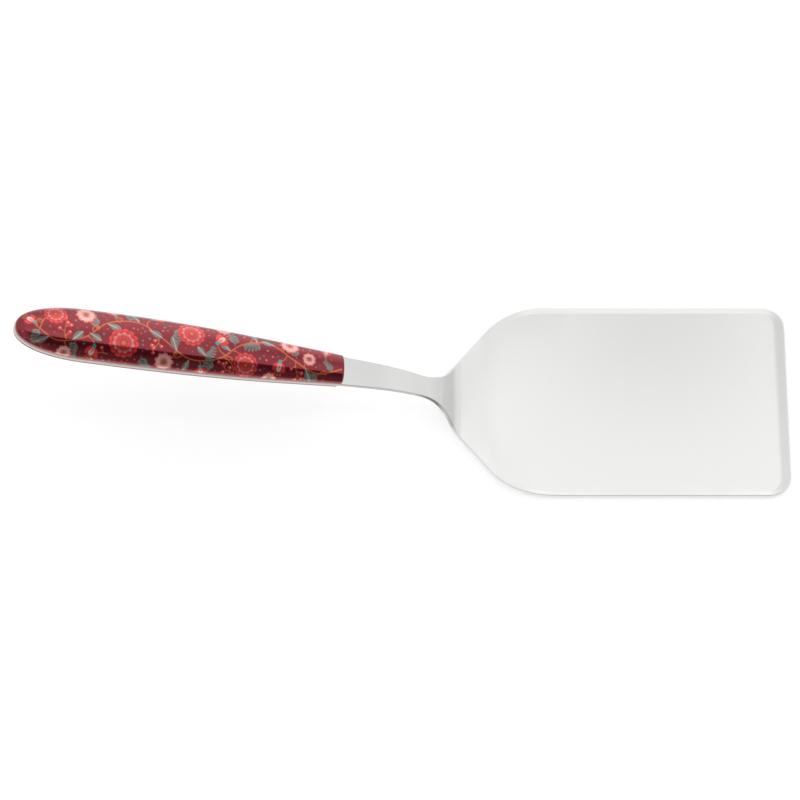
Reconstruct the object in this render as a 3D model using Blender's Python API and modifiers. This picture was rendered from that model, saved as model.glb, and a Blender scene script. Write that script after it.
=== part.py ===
"""Lasagna server: one stamped steel piece from blade tip to tang, between two handle scales.

The steel starts as a flat blank. Places on it are given as (s, y, h): s runs back from
the blade's tip along the sheet, y across it, and h up from the middle of its thickness.
fold() bends the blank, and everything fastened to it, along the side profile. In the
world the blade points to +X, lies flat on the table at z = 0, and +Z is up.
"""
import math

import bmesh
import bpy
from mathutils import Vector

MM = 0.001

# Steel sheet
SHEET_THICKNESS = 1.6 * MM
ARRIS_ROUNDING = 0.3 * MM

# Outline of half the flat blank: corners as (s, y, rounding radius)
BLADE_HALF_WIDTH = 40.15 * MM
TANG_HALF_WIDTH = 10.25 * MM
HANDLE_FRONT = 180.2 * MM
BUTT_ROUND_START = 280.0 * MM
BUTT_FULLNESS = 2.2
BLANK_CORNERS = [
    (0.0, 0.0, 0.0),
    (0.0, BLADE_HALF_WIDTH, 8.6 * MM),
    (107.9 * MM, BLADE_HALF_WIDTH, 31.5 * MM),
    (137.95 * MM, 3.8 * MM, 20.0 * MM),
    (HANDLE_FRONT, 5.95 * MM, 40.0 * MM),
    (236.0 * MM, TANG_HALF_WIDTH, 870.0 * MM),
    (BUTT_ROUND_START, TANG_HALF_WIDTH, 0.0),
]

# Side profile of the sheet's middle: corners as (way back from the tip, rise, radius)
SIDE_CORNERS = [
    (0.0, 0.0, 0.0),
    (118.0 * MM, 0.0, 60.0 * MM),
    (128.8 * MM, 2.3 * MM, 7.0 * MM),
    (136.2 * MM, 11.0 * MM, 22.0 * MM),
    (151.8 * MM, 20.9 * MM, 80.0 * MM),
    (172.4 * MM, 27.9 * MM, 500.0 * MM),
    (245.6 * MM, 51.6 * MM, 1500.0 * MM),
    (294.0 * MM, 66.4 * MM, 0.0),
]

# Rim pressed up round the tip and the sides, and dish of the shoulders
TIP_RIM_WIDTH = 3.9 * MM
SIDE_RIM_WIDTH = 2.3 * MM
TIP_RIM_HEIGHT = 0.85 * MM
SIDE_RIM_HEIGHT = 0.45 * MM
RIM_CREASE = 0.2
RIM_FADES_FROM, RIM_FADES_TO = 96.0 * MM, 110.0 * MM
DISH_HEIGHT = 2.1 * MM
DISH_RISES_FROM, DISH_RISES_TO = 84.0 * MM, 120.0 * MM
DISH_FADES_FROM, DISH_FADES_TO = 117.0 * MM, 131.5 * MM
RIM_LINES = (0.0, 1.0 - RIM_CREASE, 1.0, 1.0 + RIM_CREASE)
RIM_LINES_REACH = 0.7

# Handle scales: domed on the outside, flat on the tang
SCALE_INSET = 0.15 * MM
BOND_GAP = 0.3 * MM
SCALE_EDGE_ROUNDING = 0.4 * MM
UPPER_DOME, UPPER_LAND = 0.52, 0.5 * MM
LOWER_DOME, LOWER_LAND = 0.40, 0.5 * MM
LOWER_SETBACK = 1.5 * MM
DOME_STEPS = 16

# Two hidden pins locate and hold the scales on the tang
PIN_RADIUS = 1.5 * MM
PIN_GRIP = 2.0 * MM
PIN_CHAMFER = 0.25 * MM
PIN_CLEARANCE = 0.3 * MM
PIN_PLACES = {"front_locating_pin": 205.0 * MM, "rear_locating_pin": 276.0 * MM}
PIN_SIDES = 24

# Fineness of the meshes
ROW_SPACING = 6.0 * MM
ROW_TURN = math.radians(8.0)
BUTT_STEPS = 10
WEB_STEPS = 4
TIP_POLE = 40.0 * MM
BUTT_POLE = 10.0 * MM
MERGE = 0.00001
SHARP_ANGLE = math.radians(50.0)

# Materials: colour, roughness, metallic
STEEL = ((0.74, 0.74, 0.73), 0.28, 1.0)
PRINTED_BURGUNDY = ((0.20, 0.010, 0.028), 0.12, 0.35)
PLAIN_BURGUNDY = ((0.11, 0.008, 0.018), 0.22, 0.0)
PIN_STEEL = ((0.55, 0.55, 0.55), 0.35, 1.0)


def clear_scene():
    for existing in list(bpy.data.objects):
        bpy.data.objects.remove(existing, do_unlink=True)


def make_collection(name):
    collection = bpy.data.collections.new(name)
    bpy.context.scene.collection.children.link(collection)
    return collection


def smooth(value):
    """Ease from 0 to 1, flat at both ends."""
    value = min(max(value, 0.0), 1.0)
    return value * value * (3.0 - 2.0 * value)


def mix(first, second, share):
    return first + (second - first) * share


def runs_through(corners):
    """Straight runs and the arcs that round the corners, as (straight, radius, turn)."""
    points = [Vector(corner[:2]) for corner in corners]
    headings = []
    for here, there in zip(points, points[1:]):
        headings.append(math.atan2(there.y - here.y, there.x - here.x))
    runs = []
    used = 0.0
    for index, heading in enumerate(headings):
        length = (points[index + 1] - points[index]).length - used
        radius = corners[index + 1][2]
        turn = headings[index + 1] - heading if index + 1 < len(headings) else 0.0
        used = radius * math.tan(abs(turn) / 2.0)
        runs.append((length - used, radius, turn))
    return headings[0], runs


def walk(path, distance):
    """Place and heading after going a distance along a path of runs."""
    heading, runs = path
    u = v = 0.0
    for straight, radius, turn in runs:
        step = min(distance, straight)
        u += step * math.cos(heading)
        v += step * math.sin(heading)
        distance -= step
        if radius == 0.0 or turn == 0.0:
            continue
        step = min(distance, radius * abs(turn))
        side = math.copysign(radius, turn)
        turned = heading + step / side
        u += side * (math.sin(turned) - math.sin(heading))
        v -= side * (math.cos(turned) - math.cos(heading))
        heading = turned
        distance -= step
    return u, v, heading


def run_ends(path):
    """Distances at which a path changes from straight to arc or back."""
    ends = [0.0]
    for straight, radius, turn in path[1]:
        ends.append(ends[-1] + straight)
        ends.append(ends[-1] + radius * abs(turn))
    return ends


EDGE = runs_through(BLANK_CORNERS)
SIDE = runs_through(SIDE_CORNERS)
BLANK_LENGTH = run_ends(SIDE)[-1]
TIP_X = SIDE_CORNERS[-1][0] / 2.0


def fold(s, y, h):
    """World place of a point on or over the flat blank."""
    back, rise, slope = walk(SIDE, s)
    x = TIP_X - back + h * math.sin(slope)
    z = SHEET_THICKNESS / 2.0 + rise + h * math.cos(slope)
    return Vector((x, y, z))


def edge_distance_at(s):
    """Distance along the blank's edge at which it has come s back from the tip."""
    low, high = 0.0, run_ends(EDGE)[-1]
    for _ in range(50):
        middle = (low + high) / 2.0
        if walk(EDGE, middle)[0] < s:
            low = middle
        else:
            high = middle
    return high


def edge_stations():
    """Distances along the edge where mesh rows start, closer where edge or sheet turns."""
    last = run_ends(EDGE)[-1]
    marks = set(run_ends(EDGE))
    for s in run_ends(SIDE):
        distance = edge_distance_at(s)
        if MERGE < distance < last - MERGE:
            marks.add(distance)
    marks = sorted(marks)
    stations = []
    for start, end in zip(marks, marks[1:]):
        if end - start < MERGE:
            continue
        here, there = walk(EDGE, start), walk(EDGE, end)
        edge_turn = abs(there[2] - here[2])
        sheet_turn = abs(walk(SIDE, there[0])[2] - walk(SIDE, here[0])[2])
        steps = math.ceil(max((end - start) / ROW_SPACING, edge_turn / ROW_TURN, sheet_turn / ROW_TURN))
        stations += [mix(start, end, step / steps) for step in range(steps)]
    return stations


def butt_edge(half_width, inset=0.0):
    """Points (s, y) round half of the butt, an ellipse made a little fuller."""
    length = BLANK_LENGTH - inset - BUTT_ROUND_START
    power = 2.0 / BUTT_FULLNESS
    points = []
    for step in range(BUTT_STEPS + 1):
        angle = math.pi / 2.0 * step / BUTT_STEPS
        back = BUTT_ROUND_START + length * math.sin(angle) ** power
        out = half_width * max(math.cos(angle), 0.0) ** power
        points.append((back, out))
    return points


def ease(value, low, high):
    """Ease from 0 at low to 1 at high."""
    return smooth((value - low) / (high - low))


def rim_size(s, heading):
    """Width and height of the raised rim where the edge has this place and heading."""
    along_side = smooth(1.0 - heading / (math.pi / 2.0))
    width = mix(TIP_RIM_WIDTH, SIDE_RIM_WIDTH, along_side)
    height = mix(TIP_RIM_HEIGHT, SIDE_RIM_HEIGHT, along_side)
    return width, height * (1.0 - ease(s, RIM_FADES_FROM, RIM_FADES_TO))


def rim_lift(inside, width, height):
    """Rise of the rim at a distance inside the edge: a slope with a soft crease."""
    crease = RIM_CREASE * width
    above = width - inside
    if above <= -crease:
        ramp = 0.0
    elif above >= crease:
        ramp = above
    else:
        ramp = (above + crease) ** 2 / (4.0 * crease)
    return ramp * height / width


def dish_lift(s, share):
    """Rise of the dished shoulders at a share of the way from the middle to the edge."""
    rises = ease(s, DISH_RISES_FROM, DISH_RISES_TO)
    fades = ease(s, DISH_FADES_FROM, DISH_FADES_TO)
    return DISH_HEIGHT * rises * (1.0 - fades) * share ** 2


def blank_rows():
    """Rows of flat points (s, y, h) from the edge in to the middle line, tip to butt."""
    rows = []
    for distance in edge_stations():
        s, y, heading = walk(EDGE, distance)
        width, height = rim_size(s, heading)
        inward = Vector((math.sin(heading), -math.cos(heading)))
        reach = 1.0
        if s > TIP_POLE:
            inward = Vector((0.0, -1.0 / math.cos(heading)))
            room = RIM_LINES_REACH * y * math.cos(heading)
            reach = min(1.0, room / (RIM_LINES[-1] * width))
        row = []
        for line in RIM_LINES:
            inside = line * width * reach
            place = Vector((s, y)) + inward * inside
            row.append((place.x, place.y, rim_lift(inside, width, height)))
        rows.append(row)
    for s, y in butt_edge(TANG_HALF_WIDTH):
        pole = min(s, BLANK_LENGTH - BUTT_POLE)
        shares = [RIM_LINES_REACH * line / RIM_LINES[-1] for line in RIM_LINES]
        rows.append([(mix(s, pole, share), mix(y, 0.0, share), 0.0) for share in shares])
    for row in rows:
        edge_s, edge_y, _ = row[0]
        last_s, last_y, _ = row[-1]
        middle_s = min(max(edge_s, TIP_POLE), BLANK_LENGTH - BUTT_POLE)
        for step in range(1, WEB_STEPS + 1):
            share = step / WEB_STEPS
            row.append((mix(last_s, middle_s, share), mix(last_y, 0.0, share), 0.0))
        if edge_s > TIP_POLE and edge_y > 0.0:
            row[:] = [(s, y, h + dish_lift(s, y / edge_y)) for s, y, h in row]
    return rows


def mesh_from_rows(name, rows, closed=False):
    """A folded mesh through rows of flat points, each row joined to the next."""
    shape = bmesh.new()
    grid = [[shape.verts.new(fold(*point)) for point in row] for row in rows]
    for row, following in zip(grid, grid[1:]):
        count = len(row) if closed else len(row) - 1
        for index in range(count):
            after = (index + 1) % len(row)
            shape.faces.new((row[index], row[after], following[after], following[index]))
    if closed:
        shape.faces.new(grid[0])
    bmesh.ops.remove_doubles(shape, verts=shape.verts, dist=MERGE)
    bmesh.ops.dissolve_degenerate(shape, edges=shape.edges, dist=MERGE)
    bmesh.ops.recalc_face_normals(shape, faces=shape.faces)
    mesh = bpy.data.meshes.new(name)
    shape.to_mesh(mesh)
    shape.free()
    mesh.shade_smooth()
    mesh.set_sharp_from_angle(angle=SHARP_ANGLE)
    return mesh


def add_object(name, mesh, collection, finish):
    colour, roughness, metallic = finish
    material = bpy.data.materials.new(name + "_material")
    material.use_nodes = True
    shader = material.node_tree.nodes["Principled BSDF"]
    shader.inputs["Base Color"].default_value = (*colour, 1.0)
    shader.inputs["Roughness"].default_value = roughness
    shader.inputs["Metallic"].default_value = metallic
    mesh.materials.append(material)
    made = bpy.data.objects.new(name, mesh)
    collection.objects.link(made)
    return made


def round_edges(made, width):
    bevel = made.modifiers.new("rounded_edges", "BEVEL")
    bevel.width = width
    bevel.segments = 2
    bevel.limit_method = "ANGLE"
    bevel.angle_limit = SHARP_ANGLE
    bevel.harden_normals = True


def cut_with(made, cutters):
    for cutter in cutters:
        cut = made.modifiers.new("cut_" + cutter.name, "BOOLEAN")
        cut.operation = "DIFFERENCE"
        cut.solver = "EXACT"
        cut.object = cutter


def pin_shape(name, s, radius, length):
    """A cylinder standing square through the sheet at s, as a new object."""
    bpy.ops.mesh.primitive_cylinder_add(vertices=PIN_SIDES, radius=radius, depth=length)
    made = bpy.context.active_object
    made.name = name
    made.data.name = name
    made.location = fold(s, 0.0, 0.0)
    made.rotation_euler = (0.0, walk(SIDE, s)[2], 0.0)
    for collection in list(made.users_collection):
        collection.objects.unlink(made)
    return made


def make_pins(parts):
    length = SHEET_THICKNESS + 2.0 * (BOND_GAP + PIN_GRIP)
    for name, s in PIN_PLACES.items():
        made = pin_shape(name, s, PIN_RADIUS, length)
        mesh = made.data
        mesh.shade_smooth()
        mesh.set_sharp_from_angle(angle=SHARP_ANGLE)
        pin = add_object(name, mesh, parts, PIN_STEEL)
        pin.location, pin.rotation_euler = made.location, made.rotation_euler
        bpy.data.objects.remove(made)
        pin.name = name
        round_edges(pin, PIN_CHAMFER)


def make_pin_hole_cutters(collection):
    """One cutter for each pin: its hole in the tang and its blind socket in both scales."""
    length = SHEET_THICKNESS + 2.0 * (BOND_GAP + PIN_GRIP + PIN_CLEARANCE)
    cutters = []
    for name, s in PIN_PLACES.items():
        cutter = pin_shape(name + "_hole", s, PIN_RADIUS + PIN_CLEARANCE, length)
        cutter.hide_render = True
        cutter.display_type = "WIRE"
        collection.objects.link(cutter)
        cutters.append(cutter)
    return cutters


def make_steel(parts, cutters):
    mesh = mesh_from_rows("blade_and_tang", blank_rows())
    steel = add_object("blade_and_tang", mesh, parts, STEEL)
    mirror = steel.modifiers.new("other_half", "MIRROR")
    mirror.use_axis = (False, True, False)
    mirror.merge_threshold = MERGE
    sheet = steel.modifiers.new("sheet", "SOLIDIFY")
    sheet.thickness = SHEET_THICKNESS
    sheet.offset = 0.0
    sheet.use_even_offset = True
    round_edges(steel, ARRIS_ROUNDING)
    cut_with(steel, cutters)


def scale_outline(front):
    """Half outline (s, y) of a scale from its front end to the butt, inside the tang's edge."""
    start = edge_distance_at(front)
    end = run_ends(EDGE)[-1]
    steps = math.ceil((end - start) / ROW_SPACING)
    points = []
    for step in range(steps):
        s, y, _ = walk(EDGE, mix(start, end, step / steps))
        points.append((s, y - SCALE_INSET))
    return points + butt_edge(TANG_HALF_WIDTH - SCALE_INSET, SCALE_INSET)


def make_scale(name, parts, cutters, finish, front, side, dome, land):
    """A scale lofted through half ellipses: side is 1 over the tang and -1 under it."""
    seat = SHEET_THICKNESS / 2.0 + BOND_GAP
    rows = []
    for s, half_width in scale_outline(front):
        row = [(s, -half_width, side * seat)]
        for step in range(DOME_STEPS + 1):
            angle = math.pi * step / DOME_STEPS
            height = seat + land + dome * half_width * math.sin(angle)
            row.append((s, -half_width * math.cos(angle), side * height))
        row.append((s, half_width, side * seat))
        rows.append(row)
    scale = add_object(name, mesh_from_rows(name, rows, closed=True), parts, finish)
    round_edges(scale, SCALE_EDGE_ROUNDING)
    cut_with(scale, cutters)


def main():
    clear_scene()
    parts = make_collection("lasagna_server")
    cutting = make_collection("cutters")
    cutters = make_pin_hole_cutters(cutting)
    make_steel(parts, cutters)
    make_scale("upper_scale", parts, cutters, PRINTED_BURGUNDY,
               HANDLE_FRONT, 1.0, UPPER_DOME, UPPER_LAND)
    make_scale("lower_scale", parts, cutters, PLAIN_BURGUNDY,
               HANDLE_FRONT + LOWER_SETBACK, -1.0, LOWER_DOME, LOWER_LAND)
    make_pins(parts)


main()
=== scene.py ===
"""Looks of the lasagna server: fine surfaces, finishes, the printed handle, studio and camera.

Lengths are in metres. The steel is drawn as a flat blank and folded along the side profile,
and the handle scales follow the same fold, so every piece lies where its solid lies. A place
on the blank is (s, y, h): s back from the blade's tip, y across, h up from the middle of the
sheet. The blade points to +X and lies on the floor at z = 0.
"""
import math

import bmesh
import bpy
import numpy as np
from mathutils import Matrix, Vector


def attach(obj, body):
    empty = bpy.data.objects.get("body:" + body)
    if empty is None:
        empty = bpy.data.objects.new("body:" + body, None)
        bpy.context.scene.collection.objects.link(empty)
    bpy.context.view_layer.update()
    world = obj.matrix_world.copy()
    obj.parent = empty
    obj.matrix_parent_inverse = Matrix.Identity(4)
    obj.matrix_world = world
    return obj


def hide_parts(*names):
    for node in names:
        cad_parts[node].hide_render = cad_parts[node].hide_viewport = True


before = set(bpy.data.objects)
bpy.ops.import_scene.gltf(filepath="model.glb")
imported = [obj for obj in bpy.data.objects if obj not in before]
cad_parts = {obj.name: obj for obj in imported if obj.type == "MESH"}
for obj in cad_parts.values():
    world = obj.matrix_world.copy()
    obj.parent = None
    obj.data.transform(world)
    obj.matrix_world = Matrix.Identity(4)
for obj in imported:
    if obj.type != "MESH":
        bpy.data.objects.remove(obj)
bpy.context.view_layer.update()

MM = 0.001

# Steel sheet, with the sizes of its solid
SHEET_THICKNESS = 1.6 * MM
ARRIS_ROUNDING = 0.3 * MM
BLADE_HALF_WIDTH = 40.15 * MM
TANG_HALF_WIDTH = 10.25 * MM
HANDLE_FRONT = 180.2 * MM
BUTT_ROUND_START = 280.0 * MM
BUTT_FULLNESS = 2.2

# Corners of half of the flat blank: s, y and the radius that rounds them
BLANK_CORNERS = [
    (0.0, 0.0, 0.0),
    (0.0, BLADE_HALF_WIDTH, 8.6 * MM),
    (107.9 * MM, BLADE_HALF_WIDTH, 31.5 * MM),
    (137.95 * MM, 3.8 * MM, 20.0 * MM),
    (HANDLE_FRONT, 5.95 * MM, 40.0 * MM),
    (236.0 * MM, TANG_HALF_WIDTH, 870.0 * MM),
    (BUTT_ROUND_START, TANG_HALF_WIDTH, 0.0),
]
# Corners of the side profile: place back from the tip, rise and bending radius
SIDE_CORNERS = [
    (0.0, 0.0, 0.0),
    (118.0 * MM, 0.0, 60.0 * MM),
    (128.8 * MM, 2.3 * MM, 7.0 * MM),
    (136.2 * MM, 11.0 * MM, 22.0 * MM),
    (151.8 * MM, 20.9 * MM, 80.0 * MM),
    (172.4 * MM, 27.9 * MM, 500.0 * MM),
    (245.6 * MM, 51.6 * MM, 1500.0 * MM),
    (294.0 * MM, 66.4 * MM, 0.0),
]

# Rim pressed up round the tip and the sides, and dish of the shoulders
TIP_RIM_WIDTH = 3.9 * MM
SIDE_RIM_WIDTH = 2.3 * MM
TIP_RIM_HEIGHT = 0.85 * MM
SIDE_RIM_HEIGHT = 0.45 * MM
RIM_CREASE = 0.2
RIM_FADES = (96.0 * MM, 110.0 * MM)
DISH_HEIGHT = 2.1 * MM
DISH_RISES = (84.0 * MM, 120.0 * MM)
DISH_FADES = (117.0 * MM, 131.5 * MM)

# Handle scales. A dome's height is a share of its half width, and it stands on an upright
# land. The upper front is a little further back than its solid's, as in the photo
SCALE_INSET = 0.15 * MM
BOND_GAP = 0.3 * MM
SEAT_ROUNDING = 0.3 * MM
FRONT_ROUNDING = 0.7 * MM
UPPER_DOME, UPPER_LAND = 0.52, 0.5 * MM
LOWER_DOME, LOWER_LAND = 0.40, 0.5 * MM
UPPER_SETBACK = 0.4 * MM
LOWER_SETBACK = 1.5 * MM
UPPER_FRONT = HANDLE_FRONT + UPPER_SETBACK
LOWER_FRONT = HANDLE_FRONT + LOWER_SETBACK
GLUE_INSET = 0.08 * MM
GLUE_CLEARANCE = 0.02 * MM

# Fineness of the meshes
STEEL_SPACING = 1.6 * MM
STEEL_TURN = math.radians(2.5)
RIM_STEPS = 11
RIM_LINES_REACH = 0.7
WEB_STEPS = 12
BUTT_STEPS = 24
TIP_POLE = 40.0 * MM
BUTT_POLE = 10.0 * MM
ARRIS_STEPS = 3
ARRIS_ANGLE = math.radians(55.0)
PRINT_SPACING = 0.22 * MM
PLAIN_SPACING = 0.8 * MM
OVER_DOME = 26.0 * MM
ROUND_HALF_BUTT = 36.0 * MM
DOME_SAMPLES = 2001
ROUND_STEPS = 5
SEAT_STEPS = 3
SCALE_SHARP_ANGLE = math.radians(40.0)
HALVINGS = 50
MERGE = 0.000002


def smooth(value):
    """Ease from 0 to 1, flat at both ends, for numbers and arrays."""
    value = np.clip(value, 0.0, 1.0)
    return value * value * (3.0 - 2.0 * value)


def ease(value, low, high):
    """Ease from 0 at low to 1 at high."""
    return smooth((value - low) / (high - low))


def mix(first, second, share):
    return first + (second - first) * share


def runs_through(corners):
    """Straight runs and the arcs that round the corners, as (straight, radius, turn)."""
    points = [Vector(corner[:2]) for corner in corners]
    headings = []
    for here, there in zip(points, points[1:]):
        headings.append(math.atan2(there.y - here.y, there.x - here.x))
    runs = []
    used = 0.0
    for index, heading in enumerate(headings):
        length = (points[index + 1] - points[index]).length - used
        radius = corners[index + 1][2]
        turn = headings[index + 1] - heading if index + 1 < len(headings) else 0.0
        used = radius * math.tan(abs(turn) / 2.0)
        runs.append((length - used, radius, turn))
    return headings[0], runs


def walk(path, distance):
    """Place and heading after going a distance along a path of runs."""
    heading, runs = path
    u = v = 0.0
    for straight, radius, turn in runs:
        step = min(distance, straight)
        u += step * math.cos(heading)
        v += step * math.sin(heading)
        distance -= step
        if radius == 0.0 or turn == 0.0:
            continue
        step = min(distance, radius * abs(turn))
        side = math.copysign(radius, turn)
        turned = heading + step / side
        u += side * (math.sin(turned) - math.sin(heading))
        v -= side * (math.cos(turned) - math.cos(heading))
        heading = turned
        distance -= step
    return u, v, heading


def run_ends(path):
    """Distances at which a path changes from straight to arc or back."""
    ends = [0.0]
    for straight, radius, turn in path[1]:
        ends.append(ends[-1] + straight)
        ends.append(ends[-1] + radius * abs(turn))
    return ends


EDGE = runs_through(BLANK_CORNERS)
SIDE = runs_through(SIDE_CORNERS)
BLANK_LENGTH = run_ends(SIDE)[-1]
TIP_X = SIDE_CORNERS[-1][0] / 2.0


def fold(s, y, h):
    """World place of a point on or over the flat blank; y and h may be arrays."""
    back, rise, slope = walk(SIDE, s)
    x = TIP_X - back + h * math.sin(slope)
    z = SHEET_THICKNESS / 2.0 + rise + h * math.cos(slope)
    return x, y, z


def edge_distance_at(s):
    """Distance along the blank's edge at which it has come s back from the tip."""
    low, high = 0.0, run_ends(EDGE)[-1]
    for _ in range(HALVINGS):
        middle = (low + high) / 2.0
        if walk(EDGE, middle)[0] < s:
            low = middle
        else:
            high = middle
    return high


def edge_stations():
    """Distances along the edge where mesh rows start, closer where edge or sheet turns."""
    last = run_ends(EDGE)[-1]
    marks = set(run_ends(EDGE))
    for s in run_ends(SIDE):
        distance = edge_distance_at(s)
        if MERGE < distance < last - MERGE:
            marks.add(distance)
    marks = sorted(marks)
    stations = []
    for start, end in zip(marks, marks[1:]):
        if end - start < MERGE:
            continue
        here, there = walk(EDGE, start), walk(EDGE, end)
        edge_turn = abs(there[2] - here[2])
        sheet_turn = abs(walk(SIDE, there[0])[2] - walk(SIDE, here[0])[2])
        needs = ((end - start) / STEEL_SPACING, edge_turn / STEEL_TURN, sheet_turn / STEEL_TURN)
        steps = math.ceil(max(needs))
        stations += [mix(start, end, step / steps) for step in range(steps)]
    return stations


def butt_edge(half_width, steps, inset=0.0):
    """Points (s, y) round half of the butt, an ellipse made a little fuller."""
    length = BLANK_LENGTH - inset - BUTT_ROUND_START
    power = 2.0 / BUTT_FULLNESS
    points = []
    for step in range(steps + 1):
        angle = math.pi / 2.0 * step / steps
        back = BUTT_ROUND_START + length * math.sin(angle) ** power
        out = half_width * max(math.cos(angle), 0.0) ** power
        points.append((back, out))
    return points


def rim_size(s, heading):
    """Width and height of the raised rim where the edge has this place and heading."""
    along_side = smooth(1.0 - heading / (math.pi / 2.0))
    width = mix(TIP_RIM_WIDTH, SIDE_RIM_WIDTH, along_side)
    height = mix(TIP_RIM_HEIGHT, SIDE_RIM_HEIGHT, along_side)
    return width, height * (1.0 - ease(s, *RIM_FADES))


def rim_lift(inside, width, height):
    """Rise of the rim at a distance inside the edge: a slope with a soft crease."""
    crease = RIM_CREASE * width
    above = width - inside
    if above <= -crease:
        ramp = 0.0
    elif above >= crease:
        ramp = above
    else:
        ramp = (above + crease) ** 2 / (4.0 * crease)
    return ramp * height / width


def dish_lift(s, share):
    """Rise of the dished shoulders at a share of the way from the middle to the edge."""
    return DISH_HEIGHT * ease(s, *DISH_RISES) * (1.0 - ease(s, *DISH_FADES)) * share ** 2


def blank_rows():
    """Rows of flat points (s, y, h) from the edge in to the middle line, tip to butt."""
    lines = [(1.0 + RIM_CREASE) * step / RIM_STEPS for step in range(RIM_STEPS + 1)]
    rows = []
    for distance in edge_stations():
        s, y, heading = walk(EDGE, distance)
        width, height = rim_size(s, heading)
        inward = Vector((math.sin(heading), -math.cos(heading)))
        reach = 1.0
        if s > TIP_POLE:
            inward = Vector((0.0, -1.0 / math.cos(heading)))
            reach = min(1.0, RIM_LINES_REACH * y * math.cos(heading) / (lines[-1] * width))
        row = []
        for line in lines:
            inside = line * width * reach
            place = Vector((s, y)) + inward * inside
            row.append((place.x, place.y, rim_lift(inside, width, height)))
        rows.append(row)
    for s, y in butt_edge(TANG_HALF_WIDTH, BUTT_STEPS):
        pole = min(s, BLANK_LENGTH - BUTT_POLE)
        shares = [RIM_LINES_REACH * line / lines[-1] for line in lines]
        rows.append([(mix(s, pole, share), mix(y, 0.0, share), 0.0) for share in shares])
    for row in rows:
        edge_s, edge_y, _ = row[0]
        last_s, last_y, _ = row[-1]
        middle_s = min(max(edge_s, TIP_POLE), BLANK_LENGTH - BUTT_POLE)
        for step in range(1, WEB_STEPS + 1):
            share = step / WEB_STEPS
            row.append((mix(last_s, middle_s, share), mix(last_y, 0.0, share), 0.0))
        if edge_s > TIP_POLE and edge_y > 0.0:
            row[:] = [(s, y, h + dish_lift(s, y / edge_y)) for s, y, h in row]
    return rows


def link(name, data):
    made = bpy.data.objects.new(name, data)
    bpy.context.scene.collection.objects.link(made)
    return made


def mesh_of(name, shape):
    """Mesh with the faces of a bmesh, which is freed."""
    mesh = bpy.data.meshes.new(name)
    shape.to_mesh(mesh)
    shape.free()
    return mesh


def piece(name, mesh, material, slot, *nodes):
    """A piece of the object, riding on its one body and standing for the nodes named."""
    made = link(name, mesh)
    mesh.materials.append(material)
    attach(made, "root")
    if nodes:
        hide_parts(*nodes)
    return made


def make_steel(face_finish, edge_shade_finish):
    """The stamping: half of the folded sheet, mirrored, thickened and with rounded arrises."""
    shape = bmesh.new()
    grid = [[shape.verts.new(fold(*point)) for point in row] for row in blank_rows()]
    for row, following in zip(grid, grid[1:]):
        for index in range(len(row) - 1):
            shape.faces.new((row[index], row[index + 1], following[index + 1], following[index]))
    bmesh.ops.remove_doubles(shape, verts=shape.verts, dist=MERGE)
    bmesh.ops.dissolve_degenerate(shape, edges=shape.edges, dist=MERGE)
    bmesh.ops.recalc_face_normals(shape, faces=shape.faces)
    mesh = mesh_of("steel_blade_and_tang", shape)
    mesh.shade_smooth()
    steel = piece("steel_blade_and_tang", mesh, face_finish, "blade_steel", "blade_and_tang")
    mesh.materials.append(edge_shade_finish)
    mirror = steel.modifiers.new("other_half", "MIRROR")
    mirror.use_axis = (False, True, False)
    mirror.merge_threshold = MERGE
    sheet = steel.modifiers.new("sheet", "SOLIDIFY")
    sheet.thickness = SHEET_THICKNESS
    sheet.offset = 0.0
    sheet.use_even_offset = True
    sheet.material_offset_rim = 1
    arris = steel.modifiers.new("arris", "BEVEL")
    arris.width = ARRIS_ROUNDING
    arris.segments = ARRIS_STEPS
    arris.limit_method = "ANGLE"
    arris.angle_limit = ARRIS_ANGLE
    arris.harden_normals = True


def dome_angles(dome, steps):
    """Angles from 0 to pi that divide a half ellipse of height dome into even lengths."""
    fine = np.linspace(0.0, math.pi, DOME_SAMPLES)
    speed = np.hypot(np.sin(fine), dome * np.cos(fine))
    length = np.concatenate([[0.0], np.cumsum((speed[1:] + speed[:-1]) / 2.0)])
    return np.interp(np.linspace(0.0, length[-1], steps + 1), length, fine)


def scale_rows(front, spacing):
    """Rows (s, half width, inset) of a scale from its rounded front end to the butt."""
    rows = []
    for step in range(ROUND_STEPS + 1):
        angle = math.pi / 2.0 * step / ROUND_STEPS
        s = front + FRONT_ROUNDING * (1.0 - math.cos(angle))
        inset = FRONT_ROUNDING * (1.0 - math.sin(angle))
        rows.append((s, walk(EDGE, edge_distance_at(s))[1] - SCALE_INSET, inset))
    start = edge_distance_at(front + FRONT_ROUNDING)
    end = run_ends(EDGE)[-1]
    steps = math.ceil((end - start) / spacing)
    for step in range(1, steps):
        s, y, _ = walk(EDGE, mix(start, end, step / steps))
        rows.append((s, y - SCALE_INSET, 0.0))
    steps = math.ceil(ROUND_HALF_BUTT / spacing)
    for s, y in butt_edge(TANG_HALF_WIDTH - SCALE_INSET, steps, SCALE_INSET):
        rows.append((s, max(y, MERGE), 0.0))
    return rows


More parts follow.
